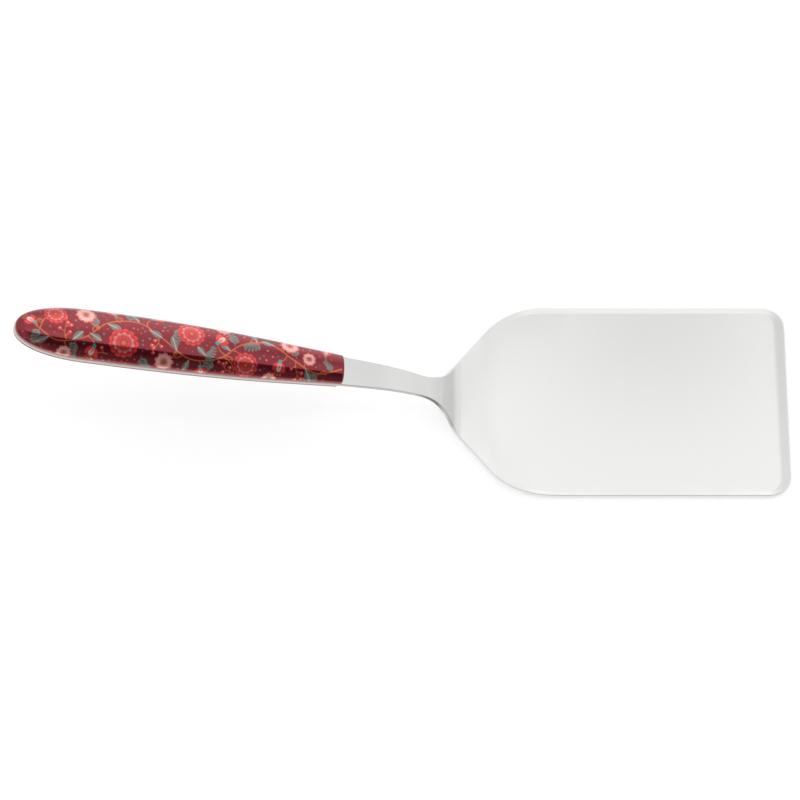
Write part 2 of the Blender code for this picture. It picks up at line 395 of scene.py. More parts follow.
def scale_mesh(name, front, side, dome, land, spacing):
    """Mesh of a scale, with its printing coordinates (along, across) for each vertex.

    side is 1 over the tang and -1 under it. along runs forward from the butt and across
    runs over the dome from its crown, both as lengths on the surface.
    """
    angles = dome_angles(dome, math.ceil(OVER_DOME / spacing))
    corner = np.linspace(0.0, math.pi / 2.0, SEAT_STEPS + 1)[:-1]
    seat = SHEET_THICKNESS / 2.0 + BOND_GAP
    places, along, across = [], [], []
    for s, half_width, inset in scale_rows(front, spacing):
        width = max(half_width - inset, MERGE)
        rounding = min(SEAT_ROUNDING, width / 2.0)
        near = -(width - rounding) - rounding * np.sin(corner)
        y = np.concatenate([near, -width * np.cos(angles), -near[::-1]])
        height = max(dome * half_width - inset, 0.0) * np.sin(angles) + land
        foot = rounding * (1.0 - np.cos(corner))
        h = seat + np.concatenate([foot, height, foot[::-1]])
        places.append(np.stack(fold(s, y, side * h), axis=1))
        run = np.concatenate([[0.0], np.cumsum(np.hypot(np.diff(y), np.diff(h)))])
        across.append(run - run[-1] / 2.0)
        along.append(np.full(len(y), BLANK_LENGTH - s))
    count = len(places[0])
    first = np.arange(len(places) - 1)[:, None] * count + np.arange(count)[None, :]
    second = np.roll(first, -1, axis=1)
    quads = np.stack([first, second, second + count, first + count], axis=-1).reshape(-1, 4)
    front_ring = list(range(count))[::-1]
    butt_ring = list(range((len(places) - 1) * count, len(places) * count))
    if side < 0:
        quads, front_ring, butt_ring = quads[:, ::-1], front_ring[::-1], butt_ring[::-1]
    mesh = bpy.data.meshes.new(name)
    mesh.from_pydata(np.concatenate(places).tolist(), [], [*quads.tolist(), front_ring, butt_ring])
    mesh.update()
    mesh.shade_smooth()
    mesh.set_sharp_from_angle(angle=SCALE_SHARP_ANGLE)
    return mesh, np.concatenate(along), np.concatenate(across)


def make_glue(name, front, side, material):
    """The set adhesive that shows as a line between the tang and a scale."""
    low = SHEET_THICKNESS / 2.0 + GLUE_CLEARANCE
    high = SHEET_THICKNESS / 2.0 + BOND_GAP - GLUE_CLEARANCE
    shape = bmesh.new()
    rings = []
    for s, half_width, inset in scale_rows(front, PLAIN_SPACING):
        y = max(half_width - inset + SCALE_INSET - GLUE_INSET, MERGE)
        corners = ((-y, low), (-y, high), (y, high), (y, low))
        rings.append([shape.verts.new(fold(s, across, side * h)) for across, h in corners])
    for ring, following in zip(rings, rings[1:]):
        for index in range(len(ring)):
            after = (index + 1) % len(ring)
            shape.faces.new((ring[index], ring[after], following[after], following[index]))
    shape.faces.new(rings[0])
    shape.faces.new(rings[-1])
    bmesh.ops.recalc_face_normals(shape, faces=shape.faces)
    piece(name, mesh_of(name, shape), material, "plain_scale")


# The printed pattern, in millimetres on the flattened handle: along it from the butt and
# across it from the crown


def ink(red, green, blue):
    """Linear colour of an ink from its display values of 0 to 255, by the sRGB curve."""
    shown = np.array([red, green, blue]) / 255.0
    return ((shown + 0.055) / 1.055) ** 2.4


GROUND = np.array((0.255, 0.006, 0.019))
CORAL = ink(234, 58, 54)
ROSE = ink(240, 118, 112)
BLUSH = ink(242, 186, 178)
AMBER = ink(212, 104, 46)
SAGE = ink(118, 130, 124)
TEAL = ink(70, 160, 158)

# Edges and lines, in millimetres
EDGE_SOFTNESS = 0.24
OUTLINE = 0.22
MOTIF_MARGIN = 1.0
VINE_WIDTH = 0.62
STALK_WIDTH = 0.44
CURL_WIDTH = 0.42
BERRY_STEM_WIDTH = 0.38
BERRY_TWIG_WIDTH = 0.34
SPRIG_STEM_WIDTH = 0.36
STAMEN_WIDTH = 0.3
STAMEN_TIP = 0.36
BERRY_RADIUS = 0.72
BERRY_GLINT = 0.27
BERRY_GLINT_PLACE = 0.2

# Curves: steps of each, how much a line thins to its end, and turns in radians
CURVE_STEPS = 12
BEND_STEPS = 28
LINE_TAPER = 0.5
VINE_TAPER = 0.3
CURL_TURN = 8.5
SPRIG_BEND = 0.9

# Petals. A higher skew puts the widest place nearer the end, a higher point makes sharper ends
PETAL_SKEW = 1.4
PETAL_POINT = 0.6
LEAF_POINT = 0.8

# Dahlia, as shares of its radius. A ring has petals, their start, end and half width, and an ink
DAHLIA_RINGS = (
    (13, 0.50, 1.00, 0.205, CORAL),
    (11, 0.24, 0.74, 0.17, ROSE),
    (8, 0.06, 0.45, 0.14, CORAL),
)
DAHLIA_RING_TURN = 0.4
DAHLIA_MIDDLE = 0.15
DAHLIA_SHADE, DAHLIA_SHADE_FALL, DAHLIA_SHADE_MOST = 1.6, 2.2, 0.6

# Daisy, as shares of its radius, with the widths of its veins and dots in millimetres
DAISY_PETALS, DAISY_PETAL_START, DAISY_PETAL_WIDTH = 9, 0.22, 0.25
DAISY_TIP_START, DAISY_TIP_RISE = 0.68, 4.0
DAISY_VEIN_START, DAISY_VEIN_END, DAISY_VEIN_STRENGTH = 0.3, 0.66, 0.9
DAISY_EYE, DAISY_MIDDLE = 0.24, 0.10
DAISY_DOTS, DAISY_DOTS_PLACE, DAISY_DOT_RADIUS = 7, 0.34, 0.16
VEIN_HALF_WIDTH = 0.09

# Bell, as shares of its length. A petal has an angle, its length and half width, and an ink
BELL_STAMENS, BELL_STAMEN_REACH = (-0.225, 0.0, 0.225), 1.22
BELL_OUTER_PETALS = ((-0.52, 1.0, 0.27, CORAL), (0.52, 1.0, 0.27, CORAL), (0.0, 0.94, 0.23, BLUSH))
BELL_TONGUE, BELL_TONGUE_WIDTH = 0.62, 0.11
BELL_CUP = 0.17

# Sprig, berry sprig and leaf, as shares of their length
SPRIG_LEAF_STEPS, SPRIG_END_STEP = range(4, BEND_STEPS - 2, 5), -4
SPRIG_LEAF, SPRIG_LEAF_SHRINKS, SPRIG_LEAF_WIDTH, SPRIG_LEAF_ANGLE = 0.40, 0.19, 0.19, 0.85
SPRIG_END, SPRIG_END_WIDTH = 0.24, 0.055
BERRY_TWIG_STEPS = range(6, BEND_STEPS, 7)
BERRY_TWIG, BERRY_TWIG_ANGLE = 0.30, 1.0
LEAF_WIDTH, LEAF_TONE = 0.23, 0.35
LEAF_VEINS, LEAF_VEIN_SWEEP, LEAF_VEIN_STRENGTH = 6.0, 0.9, 0.75
LEAF_VEIN_INSET, LEAF_MIDRIB = 0.3, 0.13


def direction(angle):
    return np.array([math.cos(angle), math.sin(angle)])


def turned(offset, angle):
    """Coordinates of offsets along and across a direction."""
    return offset @ direction(angle), offset @ direction(angle + math.pi / 2.0)


def spokes(offset, count, turn):
    """Coordinates along and across the nearest of count spokes round a centre."""
    step = 2.0 * math.pi / count
    angle = np.arctan2(offset[:, 1], offset[:, 0]) - turn
    angle = (angle + step / 2.0) % step - step / 2.0
    radius = np.hypot(offset[:, 0], offset[:, 1])
    return radius * np.cos(angle), radius * np.sin(angle)


def heading_at(line, step):
    """Angle of a line's run from one of its points to the next."""
    run = line[step + 1] - line[step]
    return math.atan2(run[1], run[0])


def curve_through(points):
    """Points of a smooth curve through the given ones."""
    points = np.array([points[0], *points, points[-1]], dtype=float)
    share = np.linspace(0.0, 1.0, CURVE_STEPS, endpoint=False)[:, None]
    curve = []
    for before, start, end, after in zip(points, points[1:], points[2:], points[3:]):
        slope = (end - before) / 2.0
        bend = before - 2.5 * start + 2.0 * end - after / 2.0
        twist = (after - before) / 2.0 + 1.5 * (start - end)
        curve.append(start + slope * share + bend * share ** 2 + twist * share ** 3)
    return np.vstack([*curve, points[-1:]])


def bent_line(base, angle, length, turn):
    """Points of a line from base that bends more and more, by turn in all."""
    share = np.linspace(0.0, 1.0, BEND_STEPS)
    heading = angle + turn * share ** 2
    steps = length / BEND_STEPS * np.stack([np.cos(heading), np.sin(heading)], axis=1)
    return np.array(base) + np.cumsum(steps, axis=0)


def outside_petal(x, y, start, end, width, point=PETAL_POINT):
    """How far a place lies outside a petal that runs along x."""
    share = np.clip((x - start) / (end - start), 0.0, 1.0)
    half = width * np.sin(math.pi * share ** PETAL_SKEW) ** point
    return np.maximum(np.abs(y) - half, np.maximum(start - x, x - end))


def inside_share(outside):
    """1 inside an outline and 0 outside it, with a soft edge, from the distance outside."""
    return np.clip(0.5 - outside / EDGE_SOFTNESS, 0.0, 1.0)


class Printing:
    """A print in millimetres on the flattened handle, its motifs laid one over another."""

    def __init__(self, along, across):
        self.places = np.stack([along, across], axis=1) / MM
        self.colour = np.tile(GROUND, (len(along), 1))
        self.cover = np.zeros(len(along))

    def near(self, centre, reach):
        """Indices of the places within reach of a centre, and their offsets from it."""
        offset = self.places - np.array(centre)
        index = np.nonzero(np.hypot(offset[:, 0], offset[:, 1]) < reach)[0]
        return index, offset[index]

    def lay(self, index, outside, colour, strength=1.0):
        """Lay a colour over the places where outside, a distance, is below zero."""
        share = strength * inside_share(outside)
        self.colour[index] += share[:, None] * (colour - self.colour[index])
        self.cover[index] = np.maximum(self.cover[index], share)

    def clear(self, index, outside):
        """Take the print off round a motif, so that it stands clear of what it covers."""
        share = inside_share(outside)
        self.colour[index] += share[:, None] * (GROUND - self.colour[index])
        self.cover[index] *= 1.0 - share

    def dot(self, centre, radius, colour):
        index, offset = self.near(centre, radius + EDGE_SOFTNESS)
        self.lay(index, np.hypot(offset[:, 0], offset[:, 1]) - radius, colour)

    def line(self, points, width, colour, taper=LINE_TAPER):
        """A line through points that thins towards its end."""
        points = np.array(points)
        low = points.min(axis=0) - width
        high = points.max(axis=0) + width
        index = np.nonzero(((self.places > low) & (self.places < high)).all(axis=1))[0]
        places = self.places[index]
        outside = np.full(len(index), np.inf)
        for step, (start, end) in enumerate(zip(points, points[1:])):
            run = end - start
            share = np.clip((places - start) @ run / (run @ run), 0.0, 1.0)
            gap = places - start - share[:, None] * run
            half = width / 2.0 * (1.0 - taper * (step + share) / len(points))
            outside = np.minimum(outside, np.hypot(gap[:, 0], gap[:, 1]) - half)
        self.lay(index, outside, colour)

    def petal(self, base, angle, length, width, colour, outline=0.0):
        index, offset = self.near(base, length + MOTIF_MARGIN)
        outside = outside_petal(*turned(offset, angle), 0.0, length, width)
        if outline:
            self.clear(index, outside - outline)
        self.lay(index, outside, colour)

    def petal_ring(self, centre, count, turn, start, end, width, colour):
        """A ring of petals standing clear of what lies under it."""
        index, offset = self.near(centre, end + MOTIF_MARGIN)
        x, y = spokes(offset, count, turn)
        outside = outside_petal(x, y, start, end, width)
        self.clear(index, outside - OUTLINE)
        self.lay(index, outside, colour)
        return index, x, y, outside

    def dahlia(self, centre, radius, turn):
        """A full flower of three rings of petals, each darker towards its base."""
        for step, (count, start, end, width, colour) in enumerate(DAHLIA_RINGS):
            ring_turn = turn + DAHLIA_RING_TURN * step
            index, x, _, outside = self.petal_ring(centre, count, ring_turn, start * radius,
                                                   end * radius, width * radius, colour)
            share = (x / radius - start) / (end - start)
            shade = np.clip(DAHLIA_SHADE - DAHLIA_SHADE_FALL * share, 0.0, DAHLIA_SHADE_MOST)
            self.lay(index, outside, GROUND, shade)
        self.dot(centre, DAHLIA_MIDDLE * radius, AMBER)

    def daisy(self, centre, radius, turn):
        """An open flower of pale petals with coloured tips and veins round a dotted eye."""
        index, x, y, outside = self.petal_ring(centre, DAISY_PETALS, turn, DAISY_PETAL_START * radius,
                                               radius, DAISY_PETAL_WIDTH * radius, BLUSH)
        tip = np.clip(DAISY_TIP_RISE * (x / radius - DAISY_TIP_START), 0.0, 1.0)
        self.lay(index, outside, CORAL, tip)
        off_ends = np.maximum(DAISY_VEIN_START * radius - x, x - DAISY_VEIN_END * radius)
        vein = np.maximum(np.abs(y) - VEIN_HALF_WIDTH, off_ends)
        self.lay(index, vein, CORAL, DAISY_VEIN_STRENGTH)
        self.dot(centre, DAISY_EYE * radius, AMBER)
        index, offset = self.near(centre, radius)
        x, y = spokes(offset, DAISY_DOTS, turn)
        self.lay(index, np.hypot(x - DAISY_DOTS_PLACE * radius, y) - DAISY_DOT_RADIUS, GROUND)
        self.dot(centre, DAISY_MIDDLE * radius, GROUND)

    def bell(self, centre, length, angle):
        """A blossom seen from the side, with its stamens and green cup."""
        for spread in BELL_STAMENS:
            tip = np.array(centre) + BELL_STAMEN_REACH * length * direction(angle + spread)
            self.line([centre, tip], STAMEN_WIDTH, AMBER, taper=0.0)
            self.dot(tip, STAMEN_TIP, AMBER)
        for spread, size, width, colour in BELL_OUTER_PETALS:
            self.petal(centre, angle + spread, size * length, width * length, colour, OUTLINE)
        self.petal(centre, angle, BELL_TONGUE * length, BELL_TONGUE_WIDTH * length, ROSE)
        self.dot(centre, BELL_CUP * length, TEAL)

    def sprig(self, base, length, angle, hand):
        """A twig of paired leaves that get smaller towards its tip."""
        turn = SPRIG_BEND * hand
        stem = bent_line(base, angle, length, turn)
        self.line(stem, SPRIG_STEM_WIDTH, SAGE)
        for step in SPRIG_LEAF_STEPS:
            size = length * (SPRIG_LEAF - SPRIG_LEAF_SHRINKS * step / BEND_STEPS)
            for side in (-SPRIG_LEAF_ANGLE, SPRIG_LEAF_ANGLE):
                self.petal(stem[step], heading_at(stem, step) + side, size, SPRIG_LEAF_WIDTH * size, SAGE)
        end = stem[SPRIG_END_STEP]
        self.petal(end, angle + turn, SPRIG_END * length, SPRIG_END_WIDTH * length, SAGE)

    def berries(self, base, length, angle, turn):
        """A twig with a berry at the end of each side twig."""
        stem = bent_line(base, angle, length, turn)
        self.line(stem, BERRY_STEM_WIDTH, AMBER)
        for count, step in enumerate(BERRY_TWIG_STEPS):
            side = BERRY_TWIG_ANGLE if count % 2 else -BERRY_TWIG_ANGLE
            tip = stem[step] + BERRY_TWIG * length * direction(heading_at(stem, step - 1) + side)
            self.line([stem[step], tip], BERRY_TWIG_WIDTH, AMBER, taper=0.0)
            self.berry(tip)
        self.berry(stem[-1])

    def berry(self, centre):
        self.dot(centre, BERRY_RADIUS, CORAL)
        self.dot(np.array(centre) + BERRY_GLINT_PLACE, BERRY_GLINT, BLUSH)

    def leaf(self, base, length, angle):
        """A broad leaf in two tones, with a midrib and side veins."""
        index, offset = self.near(base, length + MOTIF_MARGIN)
        x, y = turned(offset, angle)
        outside = outside_petal(x, y, 0.0, length, LEAF_WIDTH * length, LEAF_POINT)
        self.clear(index, outside - OUTLINE)
        self.lay(index, outside, SAGE)
        self.lay(index, np.maximum(outside, -y), TEAL, LEAF_TONE)
        along = (x - LEAF_VEIN_SWEEP * np.abs(y)) / length
        vein = np.abs((along * LEAF_VEINS) % 1.0 - 0.5) * length / LEAF_VEINS - VEIN_HALF_WIDTH
        self.lay(index, np.maximum(vein, outside + LEAF_VEIN_INSET), GROUND, LEAF_VEIN_STRENGTH)
        self.lay(index, np.maximum(np.abs(y) - LEAF_MIDRIB, outside), BLUSH)

    def curl(self, base, length, angle, hand):
        """A tendril that winds up at its end."""
        self.line(bent_line(base, angle, length, CURL_TURN * hand), CURL_WIDTH, AMBER)


# Places of the motifs, each starting with (along, across). Flowers go on with their radius
# and turn, the others with their length and angle, and twigs and curls with their hand too
VINE = [(126.0, -1.5), (116.0, -4.6), (106.5, -0.6), (97.0, 4.8), (86.5, 2.4), (77.5, -4.6),
        (66.0, -6.4), (55.5, -0.2), (46.0, 5.6), (34.5, 3.6), (26.0, -3.4), (15.5, -5.8), (8.0, -1.2)]
DAHLIAS = [(88.0, -5.6, 4.9, 0.2), (40.5, -3.8, 5.8, 0.0), (66.5, 4.0, 5.4, 0.5), (14.5, 5.0, 4.4, 0.9)]
DAISIES = [(105.5, 5.6, 3.9, 0.3), (26.0, 6.2, 4.0, 0.5), (56.5, -9.0, 3.8, 0.1),
           (113.0, 0.6, 2.8, 0.3), (79.5, 9.6, 3.6, 0.6), (18.5, -10.4, 3.1, 0.0), (98.0, -9.8, 3.0, 0.4)]
BELLS = [(101.5, -2.2, 4.4, -1.7), (76.5, 1.4, 4.6, 0.75), (52.0, 9.0, 4.4, 0.5), (29.6, -6.4, 4.4, -1.9),
         (119.6, 3.4, 3.4, 1.3), (70.5, -8.8, 4.0, -1.2), (6.8, 0.6, 3.8, 2.5), (37.5, 7.6, 4.0, 1.9)]
LEAVES = [(111.5, -3.2, 5.6, -1.1), (92.5, 4.6, 6.2, 1.9), (82.0, -1.2, 5.6, 2.5),
          (61.0, -4.4, 6.0, 1.9), (50.0, 3.0, 5.8, -0.5), (34.0, 3.2, 6.0, -0.35), (21.0, -5.4, 5.6, 0.8),
          (99.5, 4.2, 5.4, 2.9), (46.5, 5.8, 5.6, 2.1), (12.6, -4.6, 5.4, -2.7),
          (66.0, -6.6, 5.2, -1.9), (27.5, -1.6, 5.2, -0.5), (72.5, -4.6, 5.0, 2.4)]
SPRIGS = [(117.0, -4.6, 6.2, -2.3, -1.0), (94.0, 4.6, 7.4, -2.4, -1.0), (83.5, 1.2, 6.8, 1.6, 1.0),
          (76.0, -5.2, 7.4, -2.4, 1.0), (58.5, -2.2, 7.0, 0.9, 1.0), (42.5, 5.4, 7.0, 1.3, 1.0),
          (31.0, 1.0, 6.6, 2.2, -1.0), (22.5, -5.0, 6.6, -1.9, 1.0), (9.0, -1.6, 6.0, -2.2, 1.0),
          (47.5, -7.6, 6.6, -1.2, 1.0), (72.0, -5.8, 6.2, 0.7, 1.0), (122.0, -3.4, 5.0, 1.9, 1.0),
          (108.0, 0.0, 6.0, 1.9, -1.0)]
BERRY_SPRIGS = [(107.5, -1.2, 7.4, -1.5, 1.0), (88.5, 2.8, 8.0, 0.9, 1.0), (54.0, 1.0, 6.0, -1.6, -1.0),
                (19.0, -5.8, 7.6, 1.9, -1.0), (35.0, -8.8, 6.8, 3.0, 1.0), (84.0, -9.6, 6.0, 2.9, -1.0)]
CURLS = [(101.5, 3.0, 8.0, 0.6, 1.0), (80.0, -3.4, 8.0, 0.1, -1.0), (63.0, -5.6, 8.0, -2.4, -1.0),
         (28.5, -1.0, 8.5, 1.5, -1.0), (8.0, -1.2, 8.5, 2.0, -1.0), (117.5, -4.4, 6.5, 0.9, -1.0),
         (38.5, 4.4, 7.5, 0.7, 1.0)]

# Stalks that join motifs to the vine, and the small dots that fill empty places
STALK_REACH = 9.0
STALK_SAG = 0.16
FILLER_SEED = 7
FILLER_TRIES = 1500
FILLER_AREA = ((2.0, -12.0), (123.0, 12.0))
FILLER_ROOM = 1.3
FILLER_MOST_COVER = 0.1
FILLER_INKS = (ROSE, SAGE, AMBER)
FILLER_SIZES = (0.16, 0.42)


def join(printing, vine, place):
    """A stalk from the vine to a motif near it."""
    place = np.array(place)
    nearest = vine[np.hypot(*(vine - place).T).argmin()]
    run = place - nearest
    if np.hypot(*run) < STALK_REACH:
        middle = nearest + run / 2.0 + STALK_SAG * np.array((-run[1], run[0]))
        stalk = curve_through([nearest, middle, place])
        printing.line(stalk, STALK_WIDTH, AMBER, VINE_TAPER)


def print_flowers(printing):
    """The whole pattern: vine, twigs and flowers, then small dots in the empty places."""
    vine = curve_through(VINE)
    printing.line(vine, VINE_WIDTH, AMBER, VINE_TAPER)
    for motif in BELLS + LEAVES + DAISIES + DAHLIAS + BERRY_SPRIGS:
        join(printing, vine, motif[:2])
    layers = ((printing.curl, CURLS), (printing.sprig, SPRIGS), (printing.berries, BERRY_SPRIGS),
              (printing.leaf, LEAVES), (printing.bell, BELLS), (printing.daisy, DAISIES),
              (printing.dahlia, DAHLIAS))
    for draw, motifs in layers:
        for motif in motifs:
            draw(motif[:2], *motif[2:])
    chance = np.random.default_rng(FILLER_SEED)
    for place in chance.uniform(*FILLER_AREA, (FILLER_TRIES, 2)):
        index, _ = printing.near(place, FILLER_ROOM)
        if len(index) and printing.cover[index].max() < FILLER_MOST_COVER:
            colour = FILLER_INKS[chance.integers(len(FILLER_INKS))]
            printing.dot(place, chance.uniform(*FILLER_SIZES), colour)


def store_print(mesh, printing):
    """Keep the print's colours, and how much ink covers each place, on a mesh."""
    colours = mesh.color_attributes.new("print_colour", "FLOAT_COLOR", "POINT")
    opaque = np.ones((len(printing.colour), 1))
    colours.data.foreach_set("color", np.hstack([printing.colour, opaque]).ravel())
    cover = mesh.attributes.new("print_cover", "FLOAT", "POINT")
    cover.data.foreach_set("value", printing.cover)


def make_handle(print_finish, plain_finish, glue_reflection_finish):
    """Both scales and the lines of glue that hold them."""
    upper, along, across = scale_mesh("printed_upper_scale", UPPER_FRONT, 1.0,
                                      UPPER_DOME, UPPER_LAND, PRINT_SPACING)
    printing = Printing(along, across)
    print_flowers(printing)
    store_print(upper, printing)
    piece("printed_upper_scale", upper, print_finish, "printed_scale", "upper_scale")
    lower, _, _ = scale_mesh("plain_lower_scale", LOWER_FRONT, -1.0,
                             LOWER_DOME, LOWER_LAND, PLAIN_SPACING)
    piece("plain_lower_scale", lower, plain_finish, "plain_scale", "lower_scale")
    make_glue("upper_glue_line", UPPER_FRONT, 1.0, glue_reflection_finish)
    make_glue("lower_glue_line", LOWER_FRONT, -1.0, glue_reflection_finish)


# Finishes: colours, the sheen of the burgundies as their metallic share, and the coat
STEEL = (0.80, 0.80, 0.79, 1.0)
# The edge colours are painted shade, darkest at the bend, and on the tang a painted pink reflection of
# the burgundy scales
TANG_EDGE_SHADE_AND_REFLECTION = (0.62, 0.555, 0.525, 1.0)
NECK_EDGE_SHADE = (0.54, 0.54, 0.53, 1.0)
BEND_EDGE_SHADE = (0.22, 0.22, 0.21, 1.0)
SHOULDER_EDGE_SHADE = (0.66, 0.66, 0.65, 1.0)
# Pale pink of the glue lines: a painted reflection of the burgundy scales
GLUE_PAINTED_REFLECTION = (0.76, 0.53, 0.50, 1.0)
PLAIN_BURGUNDY = (0.11, 0.008, 0.018, 1.0)
PLAIN_SHEEN = 0.6
GROUND_SHEEN = 0.9
INK_SHEEN = 0.7
COAT_ROUGHNESS = 0.02

# Colours of the sheet's edge at places along x: darker than the faces, partly as a duller cut edge and
# mostly as painted shade, darkest at the bend, and along the tang a painted pink reflection of the
# burgundy scales
EDGE_SHADE_STOPS = (
    (-24.0 * MM, TANG_EDGE_SHADE_AND_REFLECTION),
    (-20.0 * MM, NECK_EDGE_SHADE),
    (2.0 * MM, NECK_EDGE_SHADE),
    (7.5 * MM, BEND_EDGE_SHADE),
    (11.0 * MM, BEND_EDGE_SHADE),
    (14.0 * MM, SHOULDER_EDGE_SHADE),
    (26.0 * MM, STEEL),
)

# Grains by their length along, across and up in millimetres, each with the values it spreads
# over: a roughness, or a height in metres
STEEL_GRAIN, STEEL_ROUGHNESS = (25.0, 0.9, 0.9), (0.225, 0.255)
SCRATCH_GRAIN, SCRATCH_HEIGHTS = (40.0, 0.7, 0.7), (0.0, 0.0012 * MM)
EDGE_GRAIN, EDGE_ROUGHNESS = (0.5, 0.5, 12.0), (0.26, 0.40)
GLUE_GRAIN, GLUE_ROUGHNESS = (0.8, 0.8, 0.8), (0.35, 0.6)
PRINT_GRAIN, PRINT_ROUGHNESS = (0.4, 0.4, 0.4), (0.13, 0.17)
PLAIN_GRAIN, PLAIN_ROUGHNESS = (0.6, 0.6, 0.6), (0.13, 0.22)
COAT_GRAIN, COAT_HEIGHTS = (5.0, 5.0, 5.0), (0.0, 0.012 * MM)
SCRATCH_OFFSET = 5.0
NOISE_DETAIL = 2.0
NOISE_SPREAD = (0.3, 0.7)


def new_material(name):
    material = bpy.data.materials.new(name)
    material.use_nodes = True
    tree = material.node_tree
    return material, tree, tree.nodes["Principled BSDF"]


def put(tree, value, socket):
    """Give a socket a number or another node's output."""
    if isinstance(value, bpy.types.NodeSocket):
        tree.links.new(value, socket)
    else:
        socket.default_value = value


def coordinates(tree, output):
    """The x, y and z of one of the outputs of a Texture Coordinate node."""
    split = tree.nodes.new("ShaderNodeSeparateXYZ")
    tree.links.new(tree.nodes.new("ShaderNodeTexCoord").outputs[output], split.inputs[0])
    return split.outputs


def spread_node(tree, value, start, end, low=0.0, high=1.0):
    """Range of values from start to end, spread from low to high."""
    node = tree.nodes.new("ShaderNodeMapRange")
    tree.links.new(value, node.inputs["Value"])
    node.inputs["From Min"].default_value = start
    node.inputs["From Max"].default_value = end
    node.inputs["To Min"].default_value = low
    node.inputs["To Max"].default_value = high
    return node


def ramp_node(tree, value, low, high):
    """Smooth step of a value from 0 at low to 1 at high."""
    node = spread_node(tree, value, low, high)
    node.interpolation_type = "SMOOTHSTEP"
    return node.outputs["Result"]


def math_node(tree, operation, *values):
    """Output of a Math node; each value is a number or another node's output."""
    node = tree.nodes.new("ShaderNodeMath")
    node.operation = operation
    for socket, value in zip(node.inputs, values):
        put(tree, value, socket)
    return node.outputs[0]


def mix_node(tree, share, first, second):
    """Number that goes from first to second as share goes from 0 to 1."""
    node = tree.nodes.new("ShaderNodeMix")
    tree.links.new(share, node.inputs["Factor"])
    put(tree, first, node.inputs["A"])
    put(tree, second, node.inputs["B"])
    return node.outputs["Result"]


def grain_node(tree, grain, spread, offset=0.0):
    """Noise with a grain this long in millimetres along, across and up."""
    nodes, links = tree.nodes, tree.links
    places = nodes.new("ShaderNodeMapping")
    places.inputs["Location"].default_value = (offset, offset, offset)
    places.inputs["Scale"].default_value = [1.0 / (length * MM) for length in grain]
    links.new(nodes.new("ShaderNodeTexCoord").outputs["Object"], places.inputs["Vector"])
    noise = nodes.new("ShaderNodeTexNoise")
    noise.inputs["Scale"].default_value = 1.0
    noise.inputs["Detail"].default_value = NOISE_DETAIL
    links.new(places.outputs["Vector"], noise.inputs["Vector"])
    return spread_node(tree, noise.outputs["Fac"], *NOISE_SPREAD, *spread).outputs["Result"]


def roughen(tree, shader, grain, roughness):
    """Give a shader a roughness that varies with a grain."""
    tree.links.new(grain_node(tree, grain, roughness), shader.inputs["Roughness"])


def bump_node(tree, height):
    """Normal of a surface roughened by a height in metres."""
    bump = tree.nodes.new("ShaderNodeBump")
    bump.inputs["Strength"].default_value = 1.0
    bump.inputs["Distance"].default_value = 1.0
    tree.links.new(height, bump.inputs["Height"])
    return bump.outputs["Normal"]


def steel_material():
    """Stainless steel with a fine satin grain along its length."""
    material, tree, shader = new_material("satin_steel")
    shader.inputs["Metallic"].default_value = 1.0
    shader.inputs["Base Color"].default_value = STEEL
    roughen(tree, shader, STEEL_GRAIN, STEEL_ROUGHNESS)
    scratches = grain_node(tree, SCRATCH_GRAIN, SCRATCH_HEIGHTS, SCRATCH_OFFSET)
    tree.links.new(bump_node(tree, scratches), shader.inputs["Normal"])
    return material


def edge_shade_material():
    """The sheet's edge: darker than the faces, partly duller cut steel and mostly painted shade, darkest
    at the bend, with a painted pink reflection of the scales along the tang.
    """
    material, tree, shader = new_material("steel_edge_painted_shade")
    shader.inputs["Metallic"].default_value = 1.0
    first, last = EDGE_SHADE_STOPS[0][0], EDGE_SHADE_STOPS[-1][0]
    x = coordinates(tree, "Object")["X"]
    ramp = tree.nodes.new("ShaderNodeValToRGB")
    tree.links.new(spread_node(tree, x, first, last).outputs["Result"], ramp.inputs["Fac"])
    stops = ramp.color_ramp.elements
    stops[0].color = EDGE_SHADE_STOPS[0][1]
    stops[-1].color = EDGE_SHADE_STOPS[-1][1]
    for place, colour in EDGE_SHADE_STOPS[1:-1]:
        stops.new((place - first) / (last - first)).color = colour
    tree.links.new(ramp.outputs["Color"], shader.inputs["Base Color"])
    roughen(tree, shader, EDGE_GRAIN, EDGE_ROUGHNESS)
    return material


def reflection_tinted_glue_material():
    """Set adhesive, pale pink as a painted reflection of the burgundy scales that it holds."""
    material, tree, shader = new_material("adhesive_painted_reflection")
    shader.inputs["Base Color"].default_value = GLUE_PAINTED_REFLECTION
    roughen(tree, shader, GLUE_GRAIN, GLUE_ROUGHNESS)
    return material


def attribute_node(tree, name, output):
    node = tree.nodes.new("ShaderNodeAttribute")
    node.attribute_name = name
    return node.outputs[output]


def clear_coat(tree, shader):
    """The glossy coat of both scales, with the faint waves of a sprayed or moulded surface."""
    shader.inputs["Coat Weight"].default_value = 1.0
    shader.inputs["Coat Roughness"].default_value = COAT_ROUGHNESS
    waves = grain_node(tree, COAT_GRAIN, COAT_HEIGHTS)
    tree.links.new(bump_node(tree, waves), shader.inputs["Coat Normal"])


def print_material():
    """Burgundy with a metallic sheen, and inks with less of it, under a clear coat."""
    material, tree, shader = new_material("printed_burgundy")
    tree.links.new(attribute_node(tree, "print_colour", "Color"), shader.inputs["Base Color"])
    cover = attribute_node(tree, "print_cover", "Fac")
    tree.links.new(mix_node(tree, cover, GROUND_SHEEN, INK_SHEEN), shader.inputs["Metallic"])
    roughen(tree, shader, PRINT_GRAIN, PRINT_ROUGHNESS)
    clear_coat(tree, shader)
    return material


